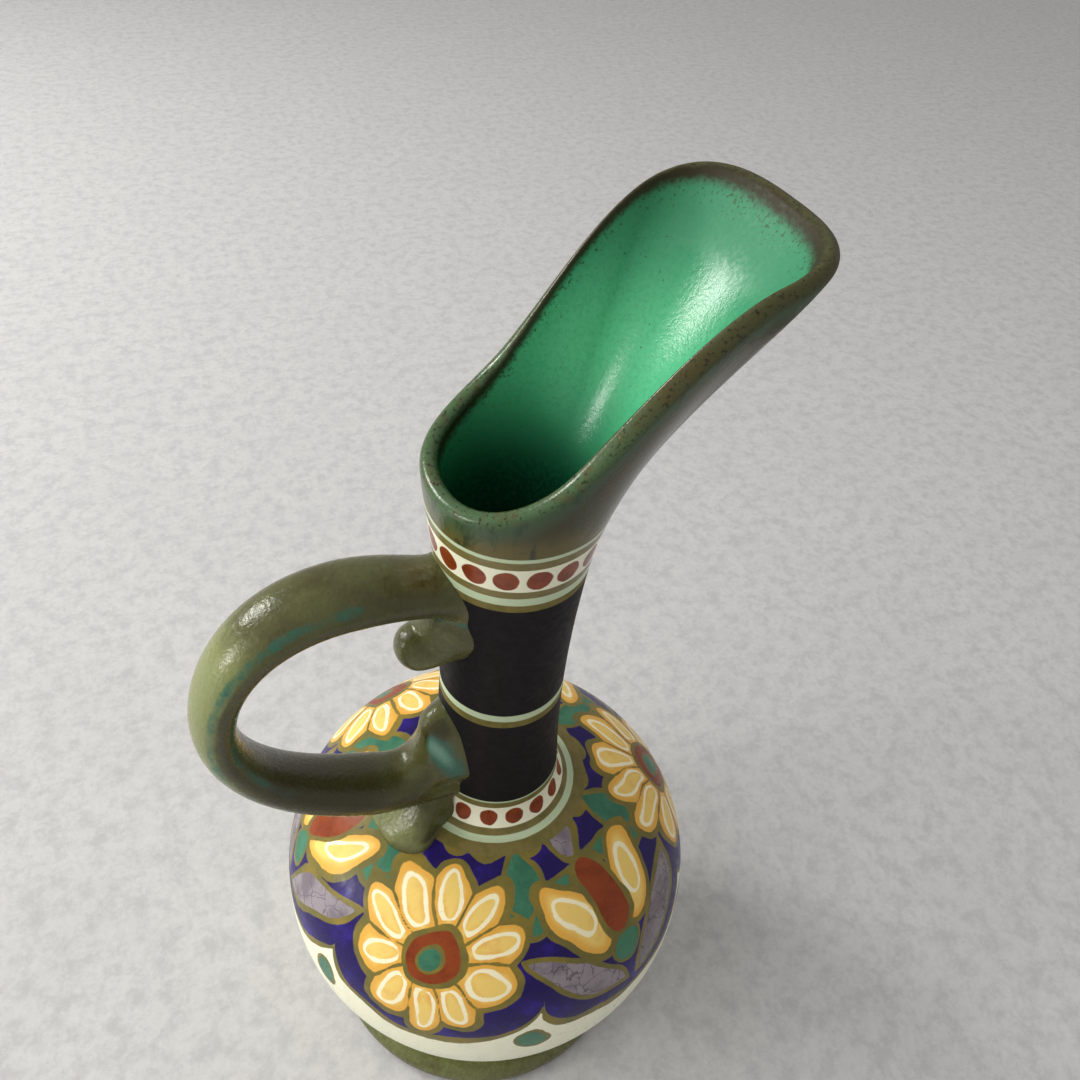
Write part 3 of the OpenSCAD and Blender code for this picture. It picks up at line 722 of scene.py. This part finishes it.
# Shares of the scroll's drop, of its tip's radius and of the strap's width
SCROLL_START, SCROLL_SAG = 0.6, 0.42
SCROLL_ROOT_T, SCROLL_SLIM = 1.65, 0.55
SCROLL_ROOT_W, SCROLL_TIP_W = 0.92, 1.25
# Shares of the spur's width and height: its root, how far up it swells, its taper, where it closes
SPUR_ROOT, SPUR_SWELL, SPUR_TAPER, SPUR_CLOSE = 0.6, 0.3, 0.58, 0.78
# Scoop at each side of the spur: its middle, its radius and how it is stretched sideways and upwards
SCOOP_X, SCOOP_Y, SCOOP_Z, SCOOP_R = 24.0, 10.5, 148.0, 6.0
SCOOP_WIDE, SCOOP_TALL = 1.3, 0.6
# Shares of the tongue's width, length and height, and how square its section is
TONGUE_ROOT, TONGUE_SWELL, TONGUE_THIN, TONGUE_POWER = 0.61, 0.6, 0.85, 3.0
# Fillets between the bodies, and how far the clay flares at the vessel's skin and goes into it
SCROLL_FILLET, SPUR_FILLET, TONGUE_FILLET, SCOOP_FILLET = 3.0, 6.0, 1.2, 2.0
FLARE, FLARE_RUN, SINK_IN = 1.3, 1.6, 1.2
# Grid on which the distances are worked out: its spacing, its lowest corner and its points each way
CELL, GRID_LOW, GRID_COUNT = 0.7, np.array([9.0, -18.2, 100.0]), (113, 53, 168)
STRAP_STEPS, SCROLL_STEPS, SKIN_SLIDES = 121, 14, 3
# Least thickness of a closed end and least slope of a field, so that nothing is divided by 0
CLOSED, LEAST_SLOPE = 0.003, 0.2
# Middle of the loop, and glaze in the scoops: its middle, its half axes and the direction it runs in
LOOP_X, LOOP_Z = 45.0, 168.0
RUN_X, RUN_Z, RUN_LONG, RUN_WIDE, RUN_DIR = 21.8, 144.0, 8.0, 2.8, (0.52, 0.86)


def closing(t, full):
    """1 up to a share of a length, then a quarter ellipse down to 0 at its end."""
    return np.sqrt(np.clip(1 - np.clip((t - full) / (1 - full), 0, 1) ** 2, CLOSED, 1))


def oval(a, b, half_a, half_b, power=2.0):
    """About the distance to an oval, or a squarer one for a higher power, whose half axes may differ."""
    a, b = np.abs(a) / half_a, np.abs(b) / half_b
    size = (a ** power + b ** power) ** (1 / power)
    slope = np.hypot(a ** (power - 1) / half_a, b ** (power - 1) / half_b)
    return (size - 1) * size ** (power - 1) / np.maximum(slope, 1e-6)


def join(a, b, soft):
    """Union of two bodies with a fillet of clay between them, and how deep the fillet lies."""
    h = np.clip(0.5 + 0.5 * (b - a) / soft, 0, 1)
    both = b + (a - b) * h - soft * h * (1 - h)
    return both, np.minimum(a, b) - both


def strap_field(x, y, z):
    """Distance to an oval strap along two cubic curves: nearest point of the line, then its oval.

    Also gives the share of the strap's length, from 0 at its upper root to 1 at its lower one.
    """
    span = HANDLE_REACH - ROOT_X
    top, low = np.array([ROOT_X, HANDLE_TOP]), np.array([ROOT_X, HANDLE_LOW])
    bend = np.array([HANDLE_REACH, BEND_Z])
    above = np.array([0, UPPER_BEND * (HANDLE_TOP - BEND_Z)])
    below = np.array([0, LOWER_BEND * (BEND_Z - HANDLE_LOW)])
    t = np.linspace(0, 1, STRAP_STEPS)
    upper = bezier([top, top + span * np.array(UPPER_SWING), bend + above, bend], t)
    lower = bezier([bend, bend - below, low + span * np.array(LOWER_SWING), low], t)
    line = np.concatenate([upper, lower[1:]])
    slim = np.sin(np.linspace(0, math.pi, len(line))) ** 2
    flat_x, flat_z = x[:, 0, :], z[:, 0, :]
    gap = np.hypot(flat_x[..., None] - line[:, 0], flat_z[..., None] - line[:, 1])
    near = gap.argmin(-1)
    half_t = (ROOT_T + (BEND_T - ROOT_T) * slim)[near] / 2
    share = near / (len(line) - 1)
    half_w = (ROOT_W + (BEND_W - ROOT_W) * slim)[near] / 2
    pinch = UPPER_PINCH * smooth(UPPER_PINCH_RUN, 0.0, share)
    pinch = pinch + LOWER_PINCH * smooth(1 - LOWER_PINCH_RUN, 1.0, share)
    half_w = half_w * (1 - pinch)
    distance = oval(gap.min(-1)[:, None, :], y, half_t[:, None, :], half_w[:, None, :])
    return distance, share[:, None, :] + 0 * y


def capped(level, before, after):
    """A body with flat ends: past an end, the way to its edge is measured along and across."""
    beyond = np.maximum(np.maximum(before, after), 0)
    return np.where(beyond > 0, np.hypot(np.maximum(level, 0), beyond), level)


def scroll_field(x, y, z):
    """Distance to a row of flattened balls from the neck out to the scroll's round tip."""
    best = np.full(x.shape, 1e3)
    root_w = SCROLL_ROOT_W * ROOT_W / 2
    for t in np.linspace(0, 1, SCROLL_STEPS):
        slim = math.sin(math.pi / 2 * t)
        at_x = ROOT_X + (SCROLL_REACH - SCROLL_R - ROOT_X) * t
        at_z = HANDLE_TOP - SCROLL_DROP * (SCROLL_START + SCROLL_SAG * slim)
        half_t = SCROLL_R * (SCROLL_ROOT_T - SCROLL_SLIM * slim)
        half_w = root_w + (SCROLL_TIP_W * SCROLL_R - root_w) * t
        best = np.minimum(best, oval(np.hypot(x - at_x, z - at_z), y, half_t, half_w))
    return best


def spur_field(x, y, z):
    """Distance to a thumb on the neck: level ovals that narrow upwards, scooped on both sides."""
    base, tip = HANDLE_LOW + ROOT_T / 4, NECK_Z + SPUR_H
    t = np.clip((z - base) / (tip - base), 0, 1)
    sink = NECK_WALL / 2
    end = closing(t, SPUR_CLOSE)
    half_t = (SPUR_T + ROOT_T * (1 - t) ** 4 + sink) * end
    swell = SPUR_ROOT + (1 - SPUR_ROOT) * smooth(0.0, SPUR_SWELL, t)
    half_w = SPUR_W / 2 * (1 - SPUR_TAPER * t ** 1.5) * swell * end
    level = oval(x - neck_radius(np.maximum(z, NECK_Z)) + sink, y, half_t, half_w)
    level = capped(level, base - z, z - tip)
    aside = (np.abs(y) - SCOOP_Y) ** 2 * SCOOP_WIDE
    scoop = np.sqrt((x - SCOOP_X) ** 2 + aside + ((z - SCOOP_Z) * SCOOP_TALL) ** 2) - SCOOP_R
    cut, _ = join(-level, scoop, SCOOP_FILLET)
    return -cut


def tongue_field(x, y, z):
    """Distance to a lobe that hangs under the root, spreads over the shoulder and ends round."""
    pad_z = COLLAR_Z - NECK_WALL / 2
    reach = np.clip((x - NECK_BASE) / (TONGUE_REACH - NECK_BASE), 0, 1)
    end = np.sqrt(np.clip(1 - reach ** 4, CLOSED, 1))
    half_t = (HANDLE_LOW + ROOT_T / 2 - pad_z) * (1 - TONGUE_THIN * reach) * end
    half_w = TONGUE_W / 2 * (TONGUE_ROOT + (1 - TONGUE_ROOT) * smooth(0.0, TONGUE_SWELL, reach)) * end
    level = oval(z - pad_z, y, half_t, half_w, TONGUE_POWER)
    return capped(level, NECK_BASE - x, x - TONGUE_REACH)


def core_field(x, y, z):
    """Distance outwards from the skin of neck, collar and shoulder."""
    r = np.hypot(x, y)
    cove = np.clip((NECK_Z - z) / COLLAR_H, 0, 1)
    collar = COLLAR_R - (COLLAR_R - NECK_BASE) * np.sqrt(1 - cove ** 2)
    side = r - np.where(z > NECK_Z, neck_radius(z), collar)
    dome = z - dome_z(np.minimum(r, GLOBE_R))
    return np.where(z > COLLAR_Z, side, np.where(r < COLLAR_R, np.minimum(side, 0), dome))


def sample(field, at):
    """Value of a grid of numbers between its points, by straight mixing along the three ways."""
    g = (at - GRID_LOW) / CELL
    i = np.clip(np.floor(g).astype(int), 0, np.array(field.shape) - 2)
    f = g - i
    total = 0
    for corner in range(8):
        c = np.array([corner & 1, corner >> 1 & 1, corner >> 2 & 1])
        total = total + field[tuple((i + c).T)] * np.prod(np.where(c, f, 1 - f), axis=1)
    return total


def crossings(field):
    """Edges of the grid that the skin crosses, for each axis.

    Gives which edges are crossed, the share of each edge up to its crossing, and which edges start inside.
    """
    edges = []
    for axis in range(3):
        keep = [slice(None)] * 3
        keep[axis] = slice(0, -1)
        a, b = field[tuple(keep)], np.roll(field, -1, axis)[tuple(keep)]
        hit = (a < 0) != (b < 0)
        part = np.where(hit, a / np.where(hit, a - b, 1), 0)
        edges.append((hit, part, a < 0))
    return edges


def cell_points(edges, n):
    """One point in each crossed cell, the mean of the crossings on its edges, and each cell's number."""
    total, count = np.zeros((*n, 3)), np.zeros(n)
    for axis, (hit, part, _) in enumerate(edges):
        u, v = (k for k in range(3) if k != axis)
        for du, dv in ((0, 0), (0, 1), (1, 0), (1, 1)):
            cut = [slice(None)] * 3
            cut[u], cut[v] = slice(du, du + n[u]), slice(dv, dv + n[v])
            h, t = hit[tuple(cut)], part[tuple(cut)]
            count += h
            total[..., axis] += t * h
            total[..., u] += du * h
            total[..., v] += dv * h
    used = count > 0
    index = np.full(n, -1)
    index[used] = np.arange(used.sum())
    return GRID_LOW + CELL * (np.argwhere(used) + total[used] / count[used][:, None]), index


def cell_faces(edges, index):
    """One face for each crossed edge, between the points of the four cells round it, turned outwards."""
    faces = []
    n = index.shape
    for axis, (hit, _, starts_in) in enumerate(edges):
        u, v = (axis + 1) % 3, (axis + 2) % 3
        e = np.argwhere(hit)
        e = e[(e[:, u] > 0) & (e[:, v] > 0) & (e[:, u] < n[u]) & (e[:, v] < n[v])]
        ring = []
        for du, dv in ((-1, -1), (0, -1), (0, 0), (-1, 0)):
            c = e.copy()
            c[:, u] += du
            c[:, v] += dv
            ring.append(index[tuple(c.T)])
        quad = np.stack(ring, -1)
        flip = ~starts_in[tuple(e.T)]
        quad[flip] = quad[flip][:, ::-1]
        faces.append(quad)
    return np.concatenate(faces)


def skin_of(field):
    """Skin where a grid of distances passes 0: points, faces and outward directions.

    Points slide onto the skin, each time by the distance over the slope.
    """
    edges = crossings(field)
    pts, index = cell_points(edges, np.array(field.shape) - 1)
    slope = np.stack(np.gradient(field, CELL), -1)
    for _ in range(SKIN_SLIDES):
        g = np.stack([sample(slope[..., k], pts) for k in range(3)], -1)
        step = sample(field, pts) / np.maximum((g * g).sum(-1), LEAST_SLOPE)
        pts = pts - step[:, None] * g
    g = np.stack([sample(slope[..., k], pts) for k in range(3)], -1)
    return pts, cell_faces(edges, index), g / np.linalg.norm(g, axis=1, keepdims=True)


def handle_glazes(pts, normal, share, crease, groove, pad, strap):
    """Shares of each glaze on the handle, from soft steps of place, direction and distance.

    Pale sage lies on the outer side of the bend, on the tongue's end and faintly on the scroll; on the
    bend, which faces the window, it is partly painted light. Brown lies on the lower arm and on the loop's
    inner flanks, as painted shade in the crease round the tongue, and above the scoops at the spur's tip,
    where it is partly painted shade. Turquoise pools in the scroll's crease, along the strap's edges and in
    the scoops, where it is glassy. Steps are in millimetres, in shares of the strap's length, or in parts
    of 1 for a direction.
    """
    x, y, z = pts.T
    on_pad, on_strap = smooth(1.5, 0.2, pad), smooth(1.5, 0.2, strap)
    middle = np.stack([x - LOOP_X, z - LOOP_Z], -1)
    away = (middle * normal[:, [0, 2]]).sum(-1) / np.linalg.norm(middle, axis=1)
    flank = np.abs(normal[:, 1])
    dx, dz = x - RUN_X, z - RUN_Z
    along, across = RUN_DIR[0] * dx + RUN_DIR[1] * dz, RUN_DIR[1] * dx - RUN_DIR[0] * dz
    scooped = np.hypot(along / RUN_LONG, across / RUN_WIDE)
    beside = smooth(2.0, 4.5, np.abs(y))

    on_end = on_pad * (0.15 + 0.4 * smooth(24.0, 34.0, x))
    # The outer side of the bend faces the window: its sage is partly the glaze's own, partly painted light
    on_bend = smooth(0.1, 0.8, away) * smooth(0.18, 0.36, share) * smooth(0.75, 0.55, share)
    on_scroll = smooth(2.0, 5.0, x - ROOT_X) * smooth(2.5, 4.0, strap) * smooth(170.0, 175.0, z)
    pale = np.maximum.reduce([on_end, on_bend, 0.3 * on_scroll])

    arm = 0.8 * on_strap * smooth(0.55, 0.7, share) * smooth(0.93, 0.84, share)
    arm = arm * smooth(-0.6, 0.1, normal[:, 2])
    inner = 0.7 * on_strap * smooth(0.7, 0.95, flank) * smooth(0.4, -0.2, away)
    # Dark brown at the spur's tip above the scoops: the glaze's dark tone with painted shade of the crease
    # there
    above = smooth(7.0, 2.5, np.hypot(dx - 1.0, (dz - 8.0) * 0.7)) * smooth(1.5, 3.0, np.abs(y))
    # The brown along the groove round the tongue is painted shade in the crease
    brown = np.maximum.reduce([arm, inner, above, smooth(0.04, 0.25, groove)])

    edge = smooth(0.5, 0.68, flank) * smooth(0.96, 0.8, flank)
    edge = 0.6 * on_strap * edge * smooth(0.06, 0.16, share) * smooth(0.76, 0.62, share)
    in_scoop = smooth(2.3, 0.4, scooped) * beside * smooth(8.0, 3.0, dz)
    pool = np.maximum.reduce([0.8 * smooth(0.1, 0.7, crease), edge, in_scoop])
    glassy = 0.7 * smooth(1.5, 0.0, scooped) * beside
    return {"pale": pale, "brown": brown, "pool": pool, "glassy": glassy}


def make_handle(material):
    """Handle: strap, scroll, spur and tongue joined with fillets and cut where they meet the vessel.

    It is worked out along +X, then mirrored to -X and turned by HANDLE_TURN, so its faces are reversed.
    """
    x, y, z = np.meshgrid(*(GRID_LOW[k] + CELL * np.arange(GRID_COUNT[k]) for k in range(3)), indexing="ij")
    strap, share = strap_field(x, y, z)
    body, crease = join(strap, scroll_field(x, y, z), SCROLL_FILLET)
    body, _ = join(body, spur_field(x, y, z), SPUR_FILLET)
    pad = tongue_field(x, y, z)
    body, groove = join(body, pad, TONGUE_FILLET)
    core = core_field(x, y, z)
    body = body - FLARE * np.exp(-np.maximum(core, 0) / FLARE_RUN)
    body = np.maximum(body, -(core + SINK_IN))
    pts, faces, normal = skin_of(body)
    glazes = handle_glazes(pts, normal, *(sample(f, pts) for f in (share, crease, groove, pad, strap)))
    c, s = math.cos(math.radians(HANDLE_TURN)), math.sin(math.radians(HANDLE_TURN))
    x, y, z = pts.T
    placed = np.stack([-x * c - y * s, -x * s + y * c, z], -1)
    return piece("handle_glazed", placed, faces[:, ::-1], material,
                 ["handle_loop", "upper_scroll", "lower_spur", "lower_tongue"], glazes)


painted = painted_globe()
olive = olive_glaze()
make_foot(olive)
make_belly(painted)
make_shoulder(painted)
make_collar(painted)
make_neck(black_neck())
make_spout(spout_glaze())
make_handle(olive)


# Table, light and camera

# Half width of the paper in metres, and the point that the lamps are turned to
PAPER_HALF, MIDDLE = 3.0, (0.0, 0.0, 0.15)
# Lamps: name, place and width in metres, power in watts, and whether glossy skins show it
LAMPS = (
    ("window", (-0.85, 1.0, 0.82), 0.32, 8.0, True),
    ("second_window", (-1.28, 0.2, 0.5), 0.26, 3.5, True),
    ("skylight", (-1.28, 0.3, 1.05), 1.9, 23.0, False))
LAMP_TINT, ROOM_TINT, ROOM_STRENGTH = "#fffdf8", "#f2efec", 0.5
# Camera from the ellipses of the painted rings: focal length in pixels of a 1080 pixel frame, places in
# radii of the globe, angles in radians, and the turn of the photograph's axes about the upright axis
FOCAL_PX, FRAME_PX = 958.7646, 1080
CAMERA_DIST, CAMERA_UP = 2.5981, 5.5947
PITCH, YAW, ROLL, FRAME_TURN = 0.7422, 0.0384, 0.1098, math.radians(-25.0)


def paper():
    """Pale grey paper under the ewer: dull, with faint fibres and clouds."""
    material, tree, place, _ = bare_material("pale_felt_paper")
    cloud = add(tree, "TexNoise", place, Scale=1 / (60 * MM), Detail=4.0)
    fibre = add(tree, "TexNoise", place, Scale=1 / (3 * MM), Detail=5.0, Roughness=0.7)
    blotch = add(tree, "TexNoise", place, Scale=1 / (9 * MM), Detail=6.0, Roughness=0.75)
    color = lay(tree, linear("#cdcdce"), [
        (cloud, 0.35, 0.7, 0.35, "#d4d4d4"), (blotch, 0.42, 0.66, 0.8, "#b8b8ba"),
        (fibre, 0.4, 0.7, 0.4, "#b9b9ba")])
    fire(tree, color, (0.9, 1.0, fibre), fibre, bump_mm=0.12, gloss=0.1)
    return material


def make_floor():
    """A wide level sheet at the height of the foot."""
    mesh = bpy.data.meshes.new("paper_sheet")
    w = PAPER_HALF
    mesh.from_pydata([(-w, -w, 0), (w, -w, 0), (w, w, 0), (-w, w, 0)], [], [(0, 1, 2, 3)])
    mesh.materials.append(paper())
    floor = bpy.data.objects.new("paper_sheet", mesh)
    bpy.context.scene.collection.objects.link(floor)


def stance(right, up, back, at):
    """Matrix of an object from its own three axes and its place."""
    rows = [[float(column[k]) for column in (right, up, back, at)] for k in range(3)]
    return Matrix(rows + [[0, 0, 0, 1]])


def lamp(name, at, size, power, mirrored):
    """A square soft light at a place, turned to the middle of the ewer."""
    light = bpy.data.lights.new(name, "AREA")
    light.shape, light.size, light.energy = "SQUARE", size, power
    light.color = linear(LAMP_TINT)[:3]
    obj = bpy.data.objects.new(name, light)
    obj.visible_glossy = mirrored
    back = np.array(at) - np.array(MIDDLE)
    back = back / np.linalg.norm(back)
    right = np.cross([0, 0, 1], back)
    right = right / np.linalg.norm(right)
    obj.matrix_world = stance(right, np.cross(back, right), back, at)
    bpy.context.scene.collection.objects.link(obj)


def make_room():
    """An even pale light from all sides."""
    world = bpy.data.worlds.new("soft_room")
    world.use_nodes = True
    background = world.node_tree.nodes["Background"]
    background.inputs["Color"].default_value = linear(ROOM_TINT)
    background.inputs["Strength"].default_value = ROOM_STRENGTH
    bpy.context.scene.world = world


def make_camera():
    """Camera that stands before the ewer, looks down by PITCH and is rolled a little."""
    ahead = np.array([math.sin(YAW) * math.cos(PITCH), math.cos(YAW) * math.cos(PITCH), -math.sin(PITCH)])
    level = np.array([math.cos(YAW), -math.sin(YAW), 0.0])
    rise = np.cross(level, ahead)
    right = math.cos(ROLL) * level + math.sin(ROLL) * rise
    up = -math.sin(ROLL) * level + math.cos(ROLL) * rise
    at = np.array([0.0, -CAMERA_DIST, CAMERA_UP]) * GLOBE_R * MM
    c, s = math.cos(FRAME_TURN), math.sin(FRAME_TURN)
    spin = np.array([[c, -s, 0], [s, c, 0], [0, 0, 1]])
    data = bpy.data.cameras.new("camera")
    data.sensor_width = 36.0
    data.lens = FOCAL_PX / FRAME_PX * data.sensor_width
    data.clip_start = 0.01
    obj = bpy.data.objects.new("camera", data)
    obj.matrix_world = stance(*(spin @ v for v in (right, up, -ahead, at)))
    bpy.context.scene.collection.objects.link(obj)
    bpy.context.scene.camera = obj


make_floor()
for row in LAMPS:
    lamp(*row)
make_room()
make_camera()
bpy.context.scene.view_settings.view_transform = "Standard"
